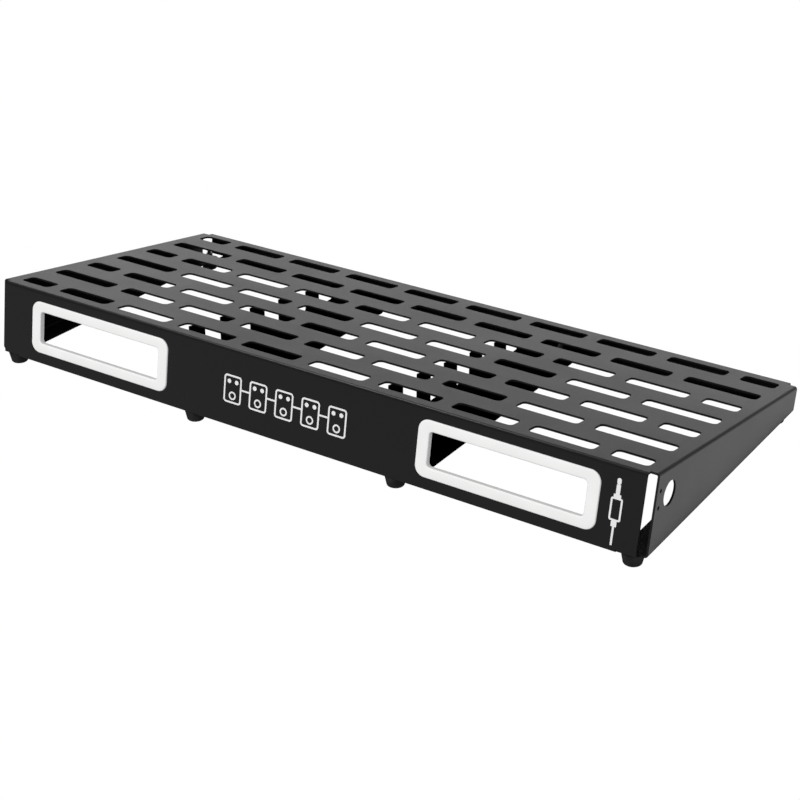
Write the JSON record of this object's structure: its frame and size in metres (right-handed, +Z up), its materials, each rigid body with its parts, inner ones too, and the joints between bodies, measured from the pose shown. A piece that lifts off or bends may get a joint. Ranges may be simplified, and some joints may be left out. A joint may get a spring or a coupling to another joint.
{
  "type": "pedalboard",
  "caption": "Sloping slotted metal pedalboard for guitar effects, folded from sheet, with cross supports, trimmed cable outlets in the tall side and rubber feet.",
  "frame": {"origin": "centre of the overall box, at the floor under the rubber feet", "axes": "+X to the right end seen from the tall cable side, +Y from the tall cable side towards the low player's side, +Z up"},
  "size_m": [0.713, 0.3274, 0.0845],
  "materials": {
    "powder_coat": "fine-textured satin black powder coat on aluminium sheet",
    "white_plastic": "satin moulded",
    "rubber": "matte",
    "zinc_steel": "zinc plated"
  },
  "bodies": {
    "root": {"deck_shell": "powder_coat", "support_left": "powder_coat", "support_right": "powder_coat", "outlet_trim_left": "white_plastic", "outlet_trim_right": "white_plastic", "foot_rear_1": "rubber", "foot_rear_2": "rubber", "foot_rear_3": "rubber", "foot_rear_4": "rubber", "foot_front_1": "rubber", "foot_front_2": "rubber", "foot_front_3": "rubber", "foot_front_4": "rubber", "foot_screw_rear_1": "zinc_steel", "foot_screw_rear_2": "zinc_steel", "foot_screw_rear_3": "zinc_steel", "foot_screw_rear_4": "zinc_steel", "foot_screw_front_1": "zinc_steel", "foot_screw_front_2": "zinc_steel", "foot_screw_front_3": "zinc_steel", "foot_screw_front_4": "zinc_steel", "foot_washer_rear_1": "zinc_steel", "foot_washer_rear_2": "zinc_steel", "foot_washer_rear_3": "zinc_steel", "foot_washer_rear_4": "zinc_steel", "foot_washer_front_1": "zinc_steel", "foot_washer_front_2": "zinc_steel", "foot_washer_front_3": "zinc_steel", "foot_washer_front_4": "zinc_steel", "lock_nut_rear_1": "zinc_steel", "lock_nut_rear_2": "zinc_steel", "lock_nut_rear_3": "zinc_steel", "lock_nut_rear_4": "zinc_steel", "lock_nut_front_1": "zinc_steel", "lock_nut_front_2": "zinc_steel", "lock_nut_front_3": "zinc_steel", "lock_nut_front_4": "zinc_steel"}
  },
  "joints": []
}
